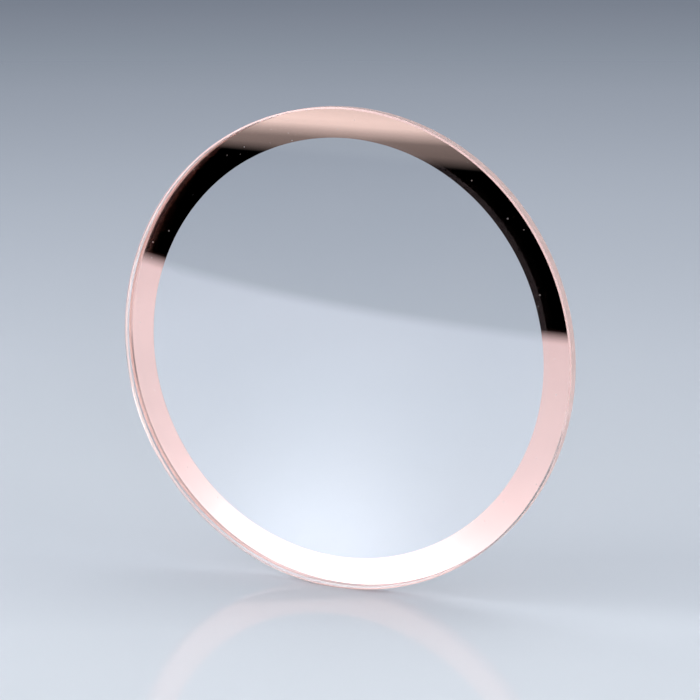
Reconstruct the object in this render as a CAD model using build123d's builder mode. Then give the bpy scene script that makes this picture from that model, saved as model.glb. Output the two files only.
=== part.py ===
"""Flat round watch crystal with a rose-gold reflector ring on its inner face.

The crystal stands on its rim. Its axis runs along Y, its outer face looks
towards -Y, and its inner face, which carries the ring, looks towards +Y.
The origin is the centre of the disc. All sizes are in millimetres.
"""

import os

from build123d import *

# Crystal
outer_diameter = 32.0  # across the ground rim, which presses into the case
crystal_thickness = 1.0  # from the outer face to the inner face
rim_chamfer = 0.1  # polished at 45 degrees, on the edge of each face

# Reflector ring
reflector_width = 1.9  # from the inner face's edge inwards
reflector_thickness = 0.02  # metal film with its protective coat

# Radii that follow from them
outer_radius = outer_diameter / 2
face_radius = outer_radius - rim_chamfer
reflector_inner_radius = face_radius - reflector_width

# The inner face, looking the way that the wearer never sees
inner_face = Plane(origin=(0, crystal_thickness / 2, 0), x_dir=(1, 0, 0), z_dir=(0, 1, 0))

# Crystal: a flat disc, sliced from the boule, ground round and chamfered
with BuildPart() as crystal:
    with BuildSketch(inner_face):
        Circle(outer_radius)
    extrude(amount=-crystal_thickness)
    chamfer(crystal.edges().filter_by(GeomType.CIRCLE), length=rim_chamfer)

# Reflector ring: a masked film that reaches out to the inner face's chamfer
with BuildPart() as reflector_ring:
    with BuildSketch(inner_face):
        Circle(face_radius)
        Circle(reflector_inner_radius, mode=Mode.SUBTRACT)
    extrude(amount=reflector_thickness)

crystal.part.label = "crystal"
reflector_ring.part.label = "reflector_ring"

os.makedirs("parts", exist_ok=True)
export_step(crystal.part, "parts/crystal.step")
export_step(reflector_ring.part, "parts/reflector_ring.step")
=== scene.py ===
"""Dresses the flat round watch crystal and stands it on a pale, glossy studio floor."""

import logging
import math
from dataclasses import dataclass, field
from enum import Enum
from typing import Any

import bpy
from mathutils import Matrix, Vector


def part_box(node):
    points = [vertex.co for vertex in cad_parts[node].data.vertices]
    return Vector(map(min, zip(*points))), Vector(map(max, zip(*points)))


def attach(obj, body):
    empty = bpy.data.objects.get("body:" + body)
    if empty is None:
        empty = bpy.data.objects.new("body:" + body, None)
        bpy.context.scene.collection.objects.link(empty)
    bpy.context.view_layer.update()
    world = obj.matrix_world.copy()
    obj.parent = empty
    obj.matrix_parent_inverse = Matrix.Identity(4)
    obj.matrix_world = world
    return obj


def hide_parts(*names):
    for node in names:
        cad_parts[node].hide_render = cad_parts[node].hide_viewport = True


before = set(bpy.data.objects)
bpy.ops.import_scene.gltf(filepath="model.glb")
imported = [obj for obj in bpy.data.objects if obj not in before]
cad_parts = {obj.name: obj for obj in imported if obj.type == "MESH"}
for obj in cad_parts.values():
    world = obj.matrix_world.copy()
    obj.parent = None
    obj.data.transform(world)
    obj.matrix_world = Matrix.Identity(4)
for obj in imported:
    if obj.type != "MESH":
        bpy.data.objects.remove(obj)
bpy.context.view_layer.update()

log = logging.getLogger("watch_crystal")

MM = 0.001
CRYSTAL_NODE = "crystal"
RING_NODE = "reflector_ring"
# Light runs round inside the rim by total internal reflection, many times before it leaves
BOUNCES = 48


def linear(colour: str) -> tuple[float, float, float, float]:
    """Turns an sRGB hex colour into linear red, green, blue and alpha.

    Args:
        colour: Six hex digits after a hash, such as "#e8c4b8".

    Returns:
        The linear colour, with alpha 1.
    """
    parts = [int(colour[i : i + 2], 16) / 255 for i in (1, 3, 5)]
    red, green, blue = (c / 12.92 if c <= 0.04045 else ((c + 0.055) / 1.055) ** 2.4 for c in parts)
    return (red, green, blue, 1.0)


def add_node(
    tree: bpy.types.NodeTree,
    kind: str,
    settings: dict[str, Any] | None = None,
    inputs: dict[str | int, Any] | None = None,
) -> bpy.types.Node:
    """Adds one node to a tree, with its settings, input values and links.

    Args:
        tree: The node tree that gets the node.
        kind: The node's Blender type.
        settings: Properties of the node and their values.
        inputs: Input names or places, each with a value or with the output socket that feeds it.

    Returns:
        The new node.
    """
    node = tree.nodes.new(kind)
    for name, value in (settings or {}).items():
        setattr(node, name, value)
    for name, value in (inputs or {}).items():
        if isinstance(value, bpy.types.NodeSocket):
            tree.links.new(value, node.inputs[name])
        else:
            node.inputs[name].default_value = value
    return node


class Polish(Enum):
    """How a surface of the crystal was finished, as roughness."""

    POLISHED = 0.0
    LAPPED = 0.12
    GROUND = 0.32


@dataclass(frozen=True)
class Sapphire:
    """Synthetic sapphire. Polished it is water clear, and fine ground it glows white with scattered light.

    The polished faces carry the faint cloudy bands of a grown crystal, many millimetres wide. A ground
    surface carries fine lines that run around it, where the wheel turned. A coated face keeps only the part
    of its glint that its single-layer anti-reflection coat leaves, about half as bright. The scatter of a
    frosted surface is tinted with a painted pink glow, which stands in for light that the film colours.
    """

    name: str
    polish: Polish
    colour: str = "#fefeff"
    band_colour: str = "#fafcfe"
    band_width: float = 7.0
    ior: float = 1.77
    glint: str = "#ffffff"
    frost: float = 0.0
    # Painted pink glow: the frost's scatter colour stands in for light that the film colours inside the rim
    painted_pink_glow: str = "#fde6e1"
    back_scatter: float = 0.4
    line_pitch: float = 0.04
    line_stretch: float = 40.0
    line_contrast: float = 0.15

    def material(self) -> bpy.types.Material:
        """Builds the clear material with the roughness of its polish, and frosts it where it is ground.

        Returns:
            The finished material.
        """
        made = bpy.data.materials.new(self.name)
        made.use_nodes = True
        tree = made.node_tree
        shader = tree.nodes["Principled BSDF"]
        shader.inputs["Transmission Weight"].default_value = 1.0
        shader.inputs["Roughness"].default_value = self.polish.value
        shader.inputs["IOR"].default_value = self.ior
        shader.inputs["Specular Tint"].default_value = linear(self.glint)
        place = add_node(tree, "ShaderNodeTexCoord").outputs["Object"]
        cloud = add_node(
            tree, "ShaderNodeTexNoise",
            inputs={"Vector": place, "Scale": 1.0 / (self.band_width * MM), "Detail": 1.0},
        )
        tint = add_node(
            tree, "ShaderNodeMix", {"data_type": "RGBA"},
            {"Factor": cloud.outputs["Fac"], 6: linear(self.colour), 7: linear(self.band_colour)},
        )
        tree.links.new(tint.outputs[2], shader.inputs["Base Color"])
        if self.frost:
            self.add_frost(tree, shader, place)
        return made

    def add_frost(
        self, tree: bpy.types.NodeTree, shader: bpy.types.Node, place: bpy.types.NodeSocket
    ) -> None:
        """Mixes the scattering of a ground surface into the clear shader.

        Args:
            tree: The material's node tree.
            shader: The clear shader.
            place: The object coordinates.
        """
        # Real grinding lines are a few micrometres apart. These are as coarse as they need to be to show.
        around = 1.0 / self.line_stretch
        drawn = add_node(
            tree, "ShaderNodeVectorMath", {"operation": "MULTIPLY"}, {0: place, 1: (around, 1.0, around)}
        )
        lines = add_node(
            tree, "ShaderNodeTexNoise",
            inputs={"Vector": drawn.outputs[0], "Scale": 1.0 / (self.line_pitch * MM), "Detail": 2.0},
        )
        frost = add_node(
            tree, "ShaderNodeMapRange",
            inputs={
                "Value": lines.outputs["Fac"], "From Min": 0.25, "From Max": 0.75,
                "To Min": self.frost * (1.0 - self.line_contrast),
                "To Max": min(self.frost * (1.0 + self.line_contrast), 1.0),
            },
        )
        # The scatter takes the painted pink glow, which stands in for light that the film colours inside the
        # rim
        passed = add_node(tree, "ShaderNodeBsdfTranslucent", inputs={"Color": linear(self.painted_pink_glow)})
        turned = add_node(tree, "ShaderNodeBsdfDiffuse", inputs={"Color": linear(self.painted_pink_glow)})
        scatter = add_node(
            tree, "ShaderNodeMixShader",
            inputs={0: self.back_scatter, 1: passed.outputs[0], 2: turned.outputs[0]},
        )
        mixed = add_node(
            tree, "ShaderNodeMixShader",
            inputs={0: frost.outputs[0], 1: shader.outputs[0], 2: scatter.outputs[0]},
        )
        tree.links.new(mixed.outputs[0], tree.nodes["Material Output"].inputs["Surface"])


@dataclass(frozen=True)
class RoseGoldFilm:
    """Vacuum-deposited rose gold. On polished sapphire it is a true mirror, warm pink where it meets light.

    A few motes that were on the glass before the film went on show as pale points in the mirror. The bare
    back is a shade duller in soft patches.
    """

    name: str
    colour: str = "#d8b4ab"
    dull_colour: str = "#d2aea5"
    roughness: float = 0.0
    dull_roughness: float = 0.0
    patch_width: float = 3.0
    mote_colour: str = "#cfc9c8"
    mote_roughness: float = 0.8
    mote_pitch: float = 1.15
    mote_radius: float = 0.04
    mote_share: float = 0.6

    def material(self) -> bpy.types.Material:
        """Builds the mirror-like metal with its patches and motes.

        Returns:
            The finished material.
        """
        made = bpy.data.materials.new(self.name)
        made.use_nodes = True
        tree = made.node_tree
        shader = tree.nodes["Principled BSDF"]
        place = add_node(tree, "ShaderNodeTexCoord").outputs["Object"]
        patch = add_node(
            tree, "ShaderNodeTexNoise",
            inputs={"Vector": place, "Scale": 1.0 / (self.patch_width * MM), "Detail": 2.0},
        ).outputs["Fac"]
        tint = add_node(
            tree, "ShaderNodeMix", {"data_type": "RGBA"},
            {"Factor": patch, 6: linear(self.colour), 7: linear(self.dull_colour)},
        ).outputs[2]
        mote = self.motes(tree, place)
        colour = add_node(
            tree, "ShaderNodeMix", {"data_type": "RGBA"},
            {"Factor": mote, 6: tint, 7: linear(self.mote_colour)},
        ).outputs[2]
        metal = add_node(tree, "ShaderNodeMath", {"operation": "SUBTRACT"}, {0: 1.0, 1: mote}).outputs[0]
        dull = add_node(
            tree, "ShaderNodeMapRange",
            inputs={"Value": patch, "To Min": self.roughness, "To Max": self.dull_roughness},
        ).outputs[0]
        rough = add_node(
            tree, "ShaderNodeMix", {"data_type": "FLOAT"}, {"Factor": mote, 2: dull, 3: self.mote_roughness}
        ).outputs[0]
        tree.links.new(colour, shader.inputs["Base Color"])
        tree.links.new(metal, shader.inputs["Metallic"])
        tree.links.new(rough, shader.inputs["Roughness"])
        return made

    def motes(self, tree: bpy.types.NodeTree, place: bpy.types.NodeSocket) -> bpy.types.NodeSocket:
        """Adds the mask of the motes, scattered over the plane of the film.

        Args:
            tree: The material's node tree.
            place: The object coordinates.

        Returns:
            A socket that is 1 on a mote and 0 beside it.
        """
        # Real motes are 5 to 50 micrometres across. These are the largest of them, drawn so that they show.
        parts = add_node(tree, "ShaderNodeSeparateXYZ", inputs={0: place})
        flat = add_node(
            tree, "ShaderNodeCombineXYZ", inputs={"X": parts.outputs["X"], "Y": parts.outputs["Z"]}
        )
        cells = add_node(
            tree, "ShaderNodeTexVoronoi", {"voronoi_dimensions": "2D"},
            {"Vector": flat.outputs[0], "Scale": 1.0 / (self.mote_pitch * MM)},
        )
        chance = add_node(tree, "ShaderNodeSeparateColor", inputs={0: cells.outputs["Color"]})
        reach = add_node(
            tree, "ShaderNodeMapRange",
            inputs={
                "Value": chance.outputs["Red"], "From Min": 1.0 - self.mote_share, "From Max": 1.0,
                "To Min": 0.0, "To Max": self.mote_radius / self.mote_pitch,
            },
        )
        return add_node(
            tree, "ShaderNodeMath", {"operation": "LESS_THAN"},
            {0: cells.outputs["Distance"], 1: reach.outputs[0]},
        ).outputs[0]


@dataclass(frozen=True)
class Station:
    """One point of a turned profile, named by the size inputs that place it."""

    radius: str
    depth: str


@dataclass
class TurnedProfile:
    """A closed profile turned about the Y axis by a tree of geometry nodes."""

    name: str
    sizes: dict[str, float]
    stations: list[Station]
    finishes: list[bpy.types.Material]
    segments: int = 360
    weld_distance: float = 0.0005 * MM

    def tree(self) -> bpy.types.GeometryNodeTree:
        """Builds the tree that bends a grid into the turned shape and dresses each band of it.

        Returns:
            The tree, with an input for each size.
        """
        tree = bpy.data.node_groups.new(self.name + "_turning", "GeometryNodeTree")
        tree.interface.new_socket("Geometry", in_out="OUTPUT", socket_type="NodeSocketGeometry")
        tree.interface.new_socket("Segments", in_out="INPUT", socket_type="NodeSocketInt")
        for size in self.sizes:
            tree.interface.new_socket(size, in_out="INPUT", socket_type="NodeSocketFloat")
        sizes = add_node(tree, "NodeGroupInput").outputs
        rows = len(self.stations)
        columns = add_node(
            tree, "ShaderNodeMath", {"operation": "ADD"}, {0: sizes["Segments"], 1: 1.0}
        )
        grid = add_node(
            tree,
            "GeometryNodeMeshGrid",
            inputs={"Size X": 1.0, "Size Y": 1.0, "Vertices X": columns.outputs[0], "Vertices Y": rows},
        )
        # The grid's X becomes the turn about the axis, and its Y the place along the profile
        place = add_node(tree, "GeometryNodeInputPosition")
        flat = add_node(tree, "ShaderNodeSeparateXYZ", inputs={0: place.outputs[0]})
        turn = add_node(
            tree, "ShaderNodeMapRange",
            inputs={
                "Value": flat.outputs["X"], "From Min": -0.5, "From Max": 0.5,
                "To Min": math.tau, "To Max": 0.0,
            },
        )
        row = add_node(
            tree, "ShaderNodeMapRange",
            inputs={
                "Value": flat.outputs["Y"], "From Min": -0.5, "From Max": 0.5,
                "To Min": 0.0, "To Max": rows - 1.0,
            },
        )
        station = add_node(tree, "ShaderNodeMath", {"operation": "ROUND"}, {0: row.outputs[0]})
        band = add_node(tree, "ShaderNodeMath", {"operation": "FLOOR"}, {0: row.outputs[0]})
        banded = add_node(
            tree, "GeometryNodeStoreNamedAttribute", {"data_type": "INT", "domain": "FACE"},
            {"Geometry": grid.outputs["Mesh"], "Name": "band", "Value": band.outputs[0]},
        )
        # An edge that lies along a row is a corner of the profile and stays sharp
        off_row = add_node(tree, "ShaderNodeMath", {"operation": "PINGPONG"}, {0: row.outputs[0], 1: 0.5})
        on_border = add_node(
            tree, "ShaderNodeMath", {"operation": "LESS_THAN"}, {0: off_row.outputs[0], 1: 0.25}
        )
        creased = add_node(
            tree, "GeometryNodeSetShadeSmooth", {"domain": "EDGE"},
            {"Geometry": banded.outputs[0], "Selection": on_border.outputs[0], "Shade Smooth": False},
        )
        radius = self.choice(tree, station.outputs[0], [sizes[s.radius] for s in self.stations])
        depth = self.choice(tree, station.outputs[0], [sizes[s.depth] for s in self.stations])
        across, height = (
            add_node(tree, "ShaderNodeMath", {"operation": "MULTIPLY"}, {
                0: radius,
                1: add_node(tree, "ShaderNodeMath", {"operation": way}, {0: turn.outputs[0]}).outputs[0],
            }).outputs[0]
            for way in ("COSINE", "SINE")
        )
        turned = add_node(tree, "ShaderNodeCombineXYZ", inputs={"X": across, "Y": depth, "Z": height})
        bent = add_node(
            tree, "GeometryNodeSetPosition",
            inputs={"Geometry": creased.outputs[0], "Position": turned.outputs[0]},
        )
        closed = add_node(
            tree, "GeometryNodeMergeByDistance",
            inputs={"Geometry": bent.outputs[0], "Distance": self.weld_distance},
        )
        body = add_node(tree, "GeometryNodeRealizeInstances", inputs={"Geometry": closed.outputs[0]})
        stored = add_node(tree, "GeometryNodeInputNamedAttribute", {"data_type": "INT"}, {"Name": "band"})
        dressed = body.outputs[0]
        for index, finish in enumerate(self.finishes):
            chosen = add_node(
                tree, "FunctionNodeCompare", {"data_type": "INT", "operation": "EQUAL"},
                {2: stored.outputs["Attribute"], 3: index},
            )
            dressed = add_node(
                tree, "GeometryNodeSetMaterial", inputs={
                    "Geometry": dressed, "Selection": chosen.outputs[0], "Material": finish,
                },
            ).outputs[0]
        add_node(tree, "NodeGroupOutput", inputs={0: dressed})
        return tree

    def choice(
        self,
        tree: bpy.types.GeometryNodeTree,
        station: bpy.types.NodeSocket,
        values: list[bpy.types.NodeSocket],
    ) -> bpy.types.NodeSocket:
        """Adds a switch that gives each station its own size.

        Args:
            tree: The tree that gets the switch.
            station: The number of the station.
            values: The size for each station, in order.

        Returns:
            The switch's output.
        """
        switch = add_node(tree, "GeometryNodeIndexSwitch", {"data_type": "FLOAT"}, {"Index": station})
        while len(switch.index_switch_items) < len(values):
            switch.index_switch_items.new()
        for index, value in enumerate(values):
            tree.links.new(value, switch.inputs[index + 1])
        return switch.outputs[0]

    def piece(self) -> bpy.types.Object:
        """Runs the tree and keeps its result as a plain mesh.

        Returns:
            The mesh's object, at the origin.
        """
        blank = bpy.data.objects.new(self.name + "_blank", bpy.data.meshes.new(self.name + "_blank"))
        bpy.context.scene.collection.objects.link(blank)
        turning = blank.modifiers.new("turning", "NODES")
        turning.node_group = self.tree()
        values = {"Segments": self.segments, **self.sizes}
        for item in turning.node_group.interface.items_tree:
            if item.in_out == "INPUT":
                turning[item.identifier] = values[item.name]
        shown = blank.evaluated_get(bpy.context.evaluated_depsgraph_get())
        mesh = bpy.data.meshes.new_from_object(shown)
        bpy.data.objects.remove(blank)
        mesh.name = self.name
        # The blank's own empty slot comes first, and no face uses it
        if mesh.materials[0] is None:
            mesh.materials.pop(index=0)
        made = bpy.data.objects.new(self.name, mesh)
        bpy.context.scene.collection.objects.link(made)
        return made


@dataclass
class CrystalAssembly:
    """The sapphire disc and the reflector ring on its inner face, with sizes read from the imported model."""

    outer_radius: float = field(init=False)
    face_radius: float = field(init=False)
    ring_inner_radius: float = field(init=False)
    outer_face: float = field(init=False)
    inner_face: float = field(init=False)
    ring_back: float = field(init=False)
    contact_gap: float = 0.001 * MM  # keeps the ring's front from lying in the plane of the inner face

    def __post_init__(self) -> None:
        """Reads the sizes of both nodes."""
        low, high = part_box(CRYSTAL_NODE)
        self.outer_radius = high.x
        self.outer_face, self.inner_face = low.y, high.y
        low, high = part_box(RING_NODE)
        self.face_radius = high.x
        self.ring_back = high.y
        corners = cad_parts[RING_NODE].data.vertices
        self.ring_inner_radius = min(math.hypot(v.co.x, v.co.z) for v in corners)

    @property
    def chamfer(self) -> float:
        """The size of the bevel on each face's edge."""
        return self.outer_radius - self.face_radius

    def crystal(self) -> bpy.types.Object:
        """Builds the disc, whose inner face carries the film in optical contact.

        Returns:
            The disc's object.
        """
        # Sapphire polished flat: water clear, with a crisp glint brighter than plain glass gives
        polished = Sapphire("sapphire_lapped_and_polished", Polish.POLISHED).material()
        # Sapphire bevelled on a fine lap: soft-edged glints with a thin haze over them, the haze tinted with
        # a painted pink glow
        lapped = Sapphire("sapphire_lapped_chamfer", Polish.LAPPED, frost=0.25).material()
        # Sapphire ground round with a diamond wheel: a frosted edge whose scatter is tinted with a painted
        # pink glow, standing in for the light that the film colours inside the rim
        ground = Sapphire("sapphire_fine_ground_rim", Polish.GROUND, frost=0.8).material()
        # Polished sapphire with one layer of magnesium fluoride: clear, with a glint half as bright
        coated = Sapphire("sapphire_anti_reflection_coated", Polish.POLISHED, glint="#b2b0b4").material()
        # Rose gold deposited in vacuum, seen through the sapphire: a true mirror that turns white warm pink
        film = RoseGoldFilm("rose_gold_film_on_sapphire").material()
        sizes = {
            "Axis": 0.0,
            "Outer Radius": self.outer_radius,
            "Face Radius": self.face_radius,
            "Ring Inner Radius": self.ring_inner_radius,
            "Outer Face": self.outer_face,
            "Outer Chamfer": self.outer_face + self.chamfer,
            "Inner Chamfer": self.inner_face - self.chamfer,
            "Inner Face": self.inner_face,
        }
        stations = [
            Station("Axis", "Outer Face"),
            Station("Face Radius", "Outer Face"),
            Station("Outer Radius", "Outer Chamfer"),
            Station("Outer Radius", "Inner Chamfer"),
            Station("Face Radius", "Inner Face"),
            Station("Ring Inner Radius", "Inner Face"),
            Station("Axis", "Inner Face"),
        ]
        finishes = [polished, lapped, ground, lapped, film, coated]
        made = TurnedProfile("crystal_disc", sizes, stations, finishes).piece()
        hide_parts(CRYSTAL_NODE)
        return made

    def ring(self) -> bpy.types.Object:
        """Builds the ring that lies behind the film's mirror side.

        Returns:
            The ring's object.
        """
        # The same film from its bare side: satin rose gold, duller where its protective coat is uneven
        back = RoseGoldFilm(
            "rose_gold_film_bare_back", dull_colour="#c39c91", roughness=0.08, dull_roughness=0.2
        ).material()
        sizes = {
            "Outer Radius": self.face_radius,
            "Inner Radius": self.ring_inner_radius,
            "Front": self.inner_face + self.contact_gap,
            "Back": self.ring_back,
        }
        stations = [
            Station("Inner Radius", "Front"),
            Station("Outer Radius", "Front"),
            Station("Outer Radius", "Back"),
            Station("Inner Radius", "Back"),
            Station("Inner Radius", "Front"),
        ]
        made = TurnedProfile("reflector_film", sizes, stations, [back] * 4).piece()
        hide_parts(RING_NODE)
        return made

    def build(self) -> None:
        """Builds both pieces and fixes them to the one body."""
        for piece in (self.crystal(), self.ring()):
            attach(piece, "root")
            log.info("%s: %d faces", piece.name, len(piece.data.polygons))


@dataclass(frozen=True)
class SoftLight:
    """A rectangular soft light, placed as seen from the foot of the crystal. Sizes are in mm and degrees.

    The azimuth is 0 straight in front of the crystal and grows to its right. Radiance 1 is white, as seen
    along the light's axis. A light that isn't mirrored leaves no glare on the glossy floor. A spread below
    180 is that of a grid over the light, which keeps it from the floor at its own foot.
    """

    name: str
    azimuth: float
    elevation: float
    distance: float
    width: float
    height: float
    radiance: float
    mirrored: bool = True
    spread: float = 180.0
    colour: str = "#ffffff"

    def build(self, foot: Vector) -> None:
        """Hangs the light so that it faces the foot.

        Args:
            foot: The point where the crystal stands, in metres.
        """
        data = bpy.data.lights.new(self.name, "AREA")
        data.shape = "RECTANGLE"
        data.size, data.size_y = self.width * MM, self.height * MM
        data.spread = math.radians(self.spread)
        # A grid narrows the lamp's cone, and on its axis the radiance stays as it is given
        half = math.radians(self.spread) / 2
        area = data.size * data.size_y
        data.energy = self.radiance * math.pi * area * (1 - half / math.tan(half))
        data.color = linear(self.colour)[:3]
        turn, rise = math.radians(self.azimuth), math.radians(self.elevation)
        level = math.cos(rise)
        way = Vector((math.sin(turn) * level, -math.cos(turn) * level, math.sin(rise)))
        obj = bpy.data.objects.new(self.name, data)
        obj.location = foot + way * self.distance * MM
        obj.rotation_euler = (-way).to_track_quat("-Z", "Y").to_euler()
        obj.visible_camera = False
        obj.visible_glossy = self.mirrored
        bpy.context.scene.collection.objects.link(obj)


@dataclass(frozen=True)
class CardRow:
    """One line across a graded card: the colour of its painted glow, and the tone at each point. Tone 1 is
    white.
    """

    points: list[Vector]
    tones: list[float]
    colour: str = "#ffffff"


@dataclass
class GradedCard:
    """A stiff card that glows on one side in a gradient of painted light, which only mirrors and frosted
    surfaces see: a painted reflection of what lies before the crystal.
    """

    name: str
    rows: list[CardRow]

    def material(self) -> bpy.types.Material:
        """Builds the card's painted glow, which shines in its own tones for light that has met the object.

        Returns:
            The card's material.
        """
        made = bpy.data.materials.new(self.name + "_print")
        made.use_nodes = True
        tree = made.node_tree
        tree.nodes.clear()
        # Painted reflection: the card's tones stand in for the light and dark that the ring mirrors
        painted_glow_colour = add_node(tree, "ShaderNodeAttribute", {"attribute_name": "painted_glow"})
        path = add_node(tree, "ShaderNodeLightPath")
        # A depth above zero means that the light has met a glossy or a matt surface
        depth = add_node(
            tree, "ShaderNodeMath", {"operation": "ADD"},
            {0: path.outputs["Glossy Depth"], 1: path.outputs["Diffuse Depth"]},
        )
        turned = add_node(
            tree, "ShaderNodeMath", {"operation": "GREATER_THAN"}, {0: depth.outputs[0], 1: 0.5}
        )
        side = add_node(tree, "ShaderNodeNewGeometry")
        front = add_node(
            tree, "ShaderNodeMath", {"operation": "SUBTRACT"}, {0: 1.0, 1: side.outputs["Backfacing"]}
        )
        shown = add_node(
            tree, "ShaderNodeMath", {"operation": "MULTIPLY"}, {0: front.outputs[0], 1: turned.outputs[0]}
        )
        glow = add_node(
            tree, "ShaderNodeEmission", inputs={"Color": painted_glow_colour.outputs["Color"], "Strength": 1.0}
        )
        clear = add_node(tree, "ShaderNodeBsdfTransparent")
        mixed = add_node(
            tree, "ShaderNodeMixShader",
            inputs={0: shown.outputs[0], 1: clear.outputs[0], 2: glow.outputs[0]},
        )
        add_node(tree, "ShaderNodeOutputMaterial", inputs={"Surface": mixed.outputs[0]})
        return made

    def build(self) -> None:
        """Joins the rows into a sheet that throws no shadow."""
        count = len(self.rows[0].points)
        corners = [point for row in self.rows for point in row.points]
        faces = [
            (r * count + c, r * count + c + 1, (r + 1) * count + c + 1, (r + 1) * count + c)
            for r in range(len(self.rows) - 1)
            for c in range(count - 1)
        ]
        mesh = bpy.data.meshes.new(self.name)
        mesh.from_pydata(corners, [], faces)
        # Each point's painted glow: its tone times the row's colour
        painted_glows = [
            part * share
            for row in self.rows
            for tone in row.tones
            for part, share in zip(linear(row.colour), (tone, tone, tone, 1.0))
        ]
        mesh.attributes.new("painted_glow", "FLOAT_COLOR", "POINT").data.foreach_set("color", painted_glows)
        mesh.materials.append(self.material())
        obj = bpy.data.objects.new(self.name, mesh)
        bpy.context.scene.collection.objects.link(obj)
        obj.visible_camera = False
        obj.visible_shadow = False


@dataclass
class Studio:
    """The pale floor, the soft lights and the cards that the ring mirrors, sized in mm and degrees.

    The azimuths are as those of the lights.
    """

    floor_height: float
    floor_radius: float = 2200 * MM
    floor_turns: int = 128
    floor_roughness: float = 0.03
    floor_ior: float = 1.45
    view_azimuth: float = 24.55
    # The floor's colour by distance beyond the crystal, in mm, as seen from the camera: painted light and
    # shade, with a painted shade just behind the foot and darkening far away where the light falls off
    floor_painted_light: tuple[tuple[float, str], ...] = (
        (-400.0, "#d8dde3"),
        (-21.0, "#d8dde3"),
        (-4.0, "#dadfe6"),
        (0.5, "#ccd1d9"),
        (30.0, "#d3d8df"),
        (85.0, "#d6dbe3"),
        (230.0, "#dbe0e9"),
        (400.0, "#d9dee7"),
        (552.0, "#cad1d9"),
        (734.0, "#b6bac4"),
        (886.0, "#9b9faa"),
        (1600.0, "#8f939e"),
    )
    # A slate backdrop that fades into a pale room
    backdrop: str = "#7a828f"
    backdrop_azimuth: float = -155.45
    backdrop_side: float = 0.35
    backdrop_core: float = 0.85
    backdrop_top: float = 0.12
    room_bottom: float = 0.42
    room: str = "#c4c9d0"
    lights: tuple[SoftLight, ...] = (
        SoftLight("camera_side_light", 28.0, 13.5, 500.0, 200.0, 220.0, 6.5, mirrored=False),
        SoftLight("overhead_light", 160.0, 75.0, 430.0, 300.0, 300.0, 1.6),
        SoftLight("front_light", -30.0, 26.0, 500.0, 330.0, 140.0, 1.0),
        SoftLight("key_light", -66.0, 27.0, 450.0, 180.0, 150.0, 6.0),
        SoftLight("edge_light", -100.0, 6.0, 450.0, 150.0, 90.0, 38.0, mirrored=False, spread=32.0),
        SoftLight("right_edge_light", 78.0, 9.0, 450.0, 150.0, 90.0, 17.0, mirrored=False, spread=32.0),
    )
    # The floor card in front of the foot, a painted reflection: where its lines end, and the colours of its
    # painted glow from near to far
    card_columns: int = 37
    card_right_end: float = 46.0
    card_lift: float = 0.05 * MM
    card_near_colour: str = "#ecf2fc"
    card_edge_colour: str = "#f1f4fe"
    card_far_colour: str = "#f7fbfa"
    card_glow_right: float = 14.0
    card_glow_left: float = -112.0
    # Each row gives Y, the tones at its right and left end, and the tone that the painted pool of light adds
    card_glow: tuple[tuple[float, float, float, float], ...] = (
        (-0.5, 3.2, 3.2, 1.4),
        (-5.0, 2.9, 2.9, 1.7),
        (-7.5, 2.55, 2.5, 1.75),
        (-10.0, 2.4, 2.4, 1.8),
        (-13.0, 2.25, 2.2, 1.8),
        (-17.0, 2.05, 2.0, 1.7),
        (-22.0, 1.88, 1.86, 1.45),
        (-31.0, 1.66, 1.68, 1.1),
        (-43.0, 1.54, 1.55, 0.75),
        (-57.0, 1.47, 1.51, 0.5),
    )
    # The pool's middle at the foot, its drift and its growth towards the camera, and its reach
    card_pool_middle: float = -0.6
    card_pool_slant: float = 0.457
    card_pool_reach: float = 10.5
    card_pool_spread: float = 0.13
    # The X and Y of both ends of the edge where the glow turns black, and the rows across that edge
    card_near_edge: tuple[tuple[float, float], tuple[float, float]] = ((-5.0, -87.0), (-89.0, -123.0))
    card_near_bow: float = 1.8
    card_edge_tones: tuple[tuple[float, float, float, float], ...] = (
        (-3.0, 1.3, 1.42, 0.3),
        (3.0, 0.0, 0.0, 0.0),
    )
    card_far_right: float = -52.0
    card_far_left: float = -167.0
    # Past the black, each row gives Y at its right and left end and the tones there
    card_tones: tuple[tuple[float, float, float, float], ...] = (
        (-216.0, -246.0, 0.0, 0.0),
        (-230.0, -259.0, 0.19, 0.35),
        (-251.0, -267.0, 0.24, 0.42),
        (-264.0, -280.0, 0.9, 0.78),
        (-273.0, -291.0, 1.25, 1.4),
        (-284.0, -301.0, 1.1, 1.6),
        (-303.0, -318.0, 0.92, 1.38),
        (-348.0, -358.0, 0.98, 1.37),
    )
    # The small black card on the left, a painted dark reflection, with the elevations of its lower and upper
    # edge
    side_card_azimuth: float = -59.0
    side_card_distance: float = 300.0
    side_card_reach: float = 7.0
    side_card_rise: tuple[float, float] = (-2.0, 11.0)

    def floor(self) -> None:
        """Lays the glossy floor with painted light and shade in its colour: pale in a painted pool of light
        in front, a painted shade just behind the foot, and darkening to slate grey far away where the light
        falls off.
        """
        # Cast acrylic sheet: pale, with a soft mirror image of what stands on it, and painted light and shade
        # in its colour
        made = bpy.data.materials.new("floor_cast_acrylic")
        made.use_nodes = True
        tree = made.node_tree
        shader = tree.nodes["Principled BSDF"]
        place = add_node(tree, "ShaderNodeTexCoord")
        turn = math.radians(self.view_azimuth)
        away = add_node(
            tree, "ShaderNodeVectorMath", {"operation": "DOT_PRODUCT"},
            {0: place.outputs["Object"], 1: (-math.sin(turn), math.cos(turn), 0.0)},
        )
        start, end = self.floor_painted_light[0][0], self.floor_painted_light[-1][0]
        share = add_node(
            tree, "ShaderNodeMapRange",
            inputs={"Value": away.outputs["Value"], "From Min": start * MM, "From Max": end * MM},
        )
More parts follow.
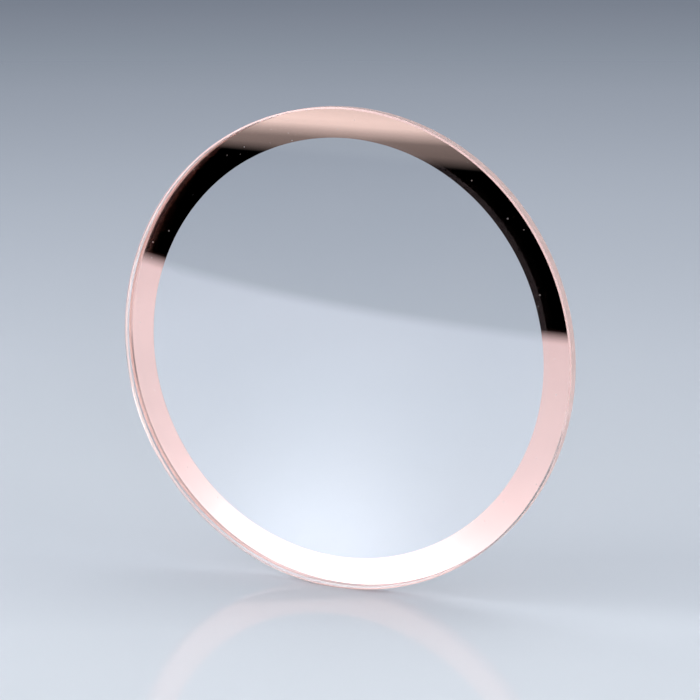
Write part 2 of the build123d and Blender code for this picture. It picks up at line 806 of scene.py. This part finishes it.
        # The ramp paints light and shade into the floor's colour by distance
        ramp = add_node(tree, "ShaderNodeValToRGB", inputs={0: share.outputs[0]})
        while len(ramp.color_ramp.elements) < len(self.floor_painted_light):
            ramp.color_ramp.elements.new(0.5)
        for element, (at, colour) in zip(ramp.color_ramp.elements, self.floor_painted_light):
            element.position = (at - start) / (end - start)
            element.color = linear(colour)
        tree.links.new(ramp.outputs[0], shader.inputs["Base Color"])
        shader.inputs["Roughness"].default_value = self.floor_roughness
        shader.inputs["IOR"].default_value = self.floor_ior
        mesh = bpy.data.meshes.new("floor")
        turns = [math.tau * i / self.floor_turns for i in range(self.floor_turns)]
        reach, height = self.floor_radius, self.floor_height
        rim = [(reach * math.cos(a), reach * math.sin(a), height) for a in turns]
        mesh.from_pydata(rim, [], [list(range(self.floor_turns))])
        mesh.materials.append(made)
        obj = bpy.data.objects.new("floor", mesh)
        bpy.context.scene.collection.objects.link(obj)

    def card_line(
        self, ends: tuple[float, float], depths: tuple[float, float], bow: float = 1.0
    ) -> list[Vector]:
        """Places the points of one line across the floor card.

        Args:
            ends: Where the line starts on the right and ends on the left, in mm.
            depths: The line's place along Y at both ends, in mm.
            bow: How much the line bends; 1 is straight.

        Returns:
            The points, in metres. The first one continues the line far out to the right.
        """
        shares = [c / (self.card_columns - 1) for c in range(self.card_columns)]
        height = self.floor_height + self.card_lift
        return [Vector((self.card_right_end * MM, depths[0] * MM, height))] + [
            Vector((
                (ends[0] + (ends[1] - ends[0]) * share) * MM,
                (depths[0] + (depths[1] - depths[0]) * share**bow) * MM,
                height,
            ))
            for share in shares
        ]

    def card_row(
        self, points: list[Vector], tones: tuple[float, float], colour: str, pool: float = 0.0
    ) -> CardRow:
        """Prints one line of the floor card.

        Args:
            points: The points of the line.
            tones: The tone at its right and left end.
            colour: The colour that the tones scale.
            pool: The tone that the painted pool of light before the foot adds at its middle.

        Returns:
            The line with its painted glow.
        """
        last = len(points) - 2
        painted_tones = []
        for index, point in enumerate(points):
            share = max(index - 1, 0) / last
            middle = self.card_pool_middle + self.card_pool_slant * point.y / MM
            reach = self.card_pool_reach - self.card_pool_spread * point.y / MM
            off = min(abs(point.x / MM - middle) / reach, 1.0)
            tone = tones[0] + (tones[1] - tones[0]) * share
            painted_tones.append(tone + pool * math.cos(off * math.pi / 2) ** 2)
        return CardRow(points, painted_tones, colour)

    def floor_card(self) -> None:
        """Lays the card in front of the foot, a painted reflection that only mirrors see: a painted pool of
        light near it, then black, and paler again far away.
        """
        (near_right, near_y), (near_left, near_sag) = self.card_near_edge
        ends = (self.card_glow_right, self.card_glow_left)
        rows = [
            self.card_row(self.card_line(ends, (y, y)), tones, self.card_near_colour, pool)
            for y, *tones, pool in self.card_glow
        ]
        rows += [
            self.card_row(
                self.card_line(
                    (near_right, near_left), (near_y - back, near_sag - back), self.card_near_bow
                ),
                tones, self.card_edge_colour, pool,
            )
            for back, *tones, pool in self.card_edge_tones
        ]
        ends = (self.card_far_right, self.card_far_left)
        rows += [
            self.card_row(self.card_line(ends, (right_y, left_y)), tones, self.card_far_colour)
            for right_y, left_y, *tones in self.card_tones
        ]
        GradedCard("floor_card", rows).build()

    def side_card(self) -> None:
        """Stands the small black card on the left, seen only in mirrors, which paints a dark reflection line
        low on the bevel's right.
        """
        turn, distance = math.radians(self.side_card_azimuth), self.side_card_distance * MM
        way = Vector((math.sin(turn), -math.cos(turn), 0.0))
        side = Vector((-way.y, way.x, 0.0)) * math.tan(math.radians(self.side_card_reach)) * distance
        rows = []
        for rise in self.side_card_rise:
            middle = way * distance + Vector((0.0, 0.0, math.tan(math.radians(rise)) * distance))
            rows.append(CardRow([middle + side, middle - side], [0.0, 0.0]))
        GradedCard("side_card", rows).build()

    def world(self) -> None:
        """Makes the room softly white, with a slate backdrop low down behind the crystal."""
        world = bpy.data.worlds.new("room")
        bpy.context.scene.world = world
        world.use_nodes = True
        tree = world.node_tree
        tree.nodes.clear()
        way = add_node(tree, "ShaderNodeTexCoord")
        parts = add_node(tree, "ShaderNodeSeparateXYZ", inputs={0: way.outputs["Generated"]})
        turn = math.radians(self.backdrop_azimuth)
        toward = add_node(
            tree, "ShaderNodeVectorMath", {"operation": "DOT_PRODUCT"},
            {0: way.outputs["Generated"], 1: (math.sin(turn), -math.cos(turn), 0.0)},
        )
        middle = add_node(
            tree, "ShaderNodeMapRange", {"interpolation_type": "SMOOTHSTEP"},
            {
                "Value": toward.outputs["Value"],
                "From Min": self.backdrop_side, "From Max": self.backdrop_core,
            },
        )
        low = add_node(
            tree, "ShaderNodeMapRange", {"interpolation_type": "SMOOTHSTEP"},
            {
                "Value": parts.outputs["Z"], "From Min": self.backdrop_top, "From Max": self.room_bottom,
                "To Min": 1.0, "To Max": 0.0,
            },
        )
        share = add_node(
            tree, "ShaderNodeMath", {"operation": "MULTIPLY"}, {0: middle.outputs[0], 1: low.outputs[0]}
        )
        tone = add_node(
            tree, "ShaderNodeMix", {"data_type": "RGBA"},
            {"Factor": share.outputs[0], 6: linear(self.room), 7: linear(self.backdrop)},
        )
        light = add_node(tree, "ShaderNodeBackground", inputs={"Color": tone.outputs[2], "Strength": 1.0})
        add_node(tree, "ShaderNodeOutputWorld", inputs={"Surface": light.outputs[0]})

    def build(self) -> None:
        """Sets up everything that isn't part of the object."""
        self.floor()
        self.floor_card()
        self.side_card()
        self.world()
        for light in self.lights:
            light.build(Vector((0.0, 0.0, self.floor_height)))


@dataclass
class StudioCamera:
    """A long lens at the photograph's viewing angle. Sizes are in metres and degrees."""

    subject: Vector
    subject_radius: float
    azimuth: float = 24.55
    elevation: float = 11.49
    distance_share: float = 9.0
    focal_pixels: float = 2206.0
    frame_pixels: float = 700.0
    aim_right_pixels: float = 12.3
    aim_up_pixels: float = 2.94

    def build(self) -> None:
        """Places the camera and points it a little to the right of the crystal's centre."""
        turn, rise = math.radians(self.azimuth), math.radians(self.elevation)
        back = Vector((math.sin(turn) * math.cos(rise), -math.cos(turn) * math.cos(rise), math.sin(rise)))
        right = Vector((math.cos(turn), math.sin(turn), 0.0))
        up = back.cross(right)
        distance = self.distance_share * self.subject_radius
        reach = distance / self.focal_pixels
        place = self.subject + back * distance
        target = self.subject + right * self.aim_right_pixels * reach + up * self.aim_up_pixels * reach
        data = bpy.data.cameras.new("camera")
        data.lens = self.focal_pixels / self.frame_pixels * data.sensor_width
        data.clip_start, data.clip_end = 1 * MM, 3000 * MM
        camera = bpy.data.objects.new("camera", data)
        camera.location = place
        camera.rotation_euler = (target - place).to_track_quat("-Z", "Y").to_euler()
        bpy.context.scene.collection.objects.link(camera)
        bpy.context.scene.camera = camera


def main() -> None:
    """Builds the crystal, the studio and the camera."""
    logging.basicConfig(level=logging.INFO, format="%(name)s: %(message)s")
    scene = bpy.context.scene
    scene.view_settings.view_transform = "Standard"
    scene.cycles.max_bounces = BOUNCES
    scene.cycles.glossy_bounces = BOUNCES
    scene.cycles.transmission_bounces = BOUNCES
    crystal = CrystalAssembly()
    crystal.build()
    Studio(floor_height=-crystal.outer_radius).build()
    StudioCamera(Vector((0.0, crystal.outer_face, 0.0)), crystal.outer_radius).build()


if __name__ == "__main__":
    main()
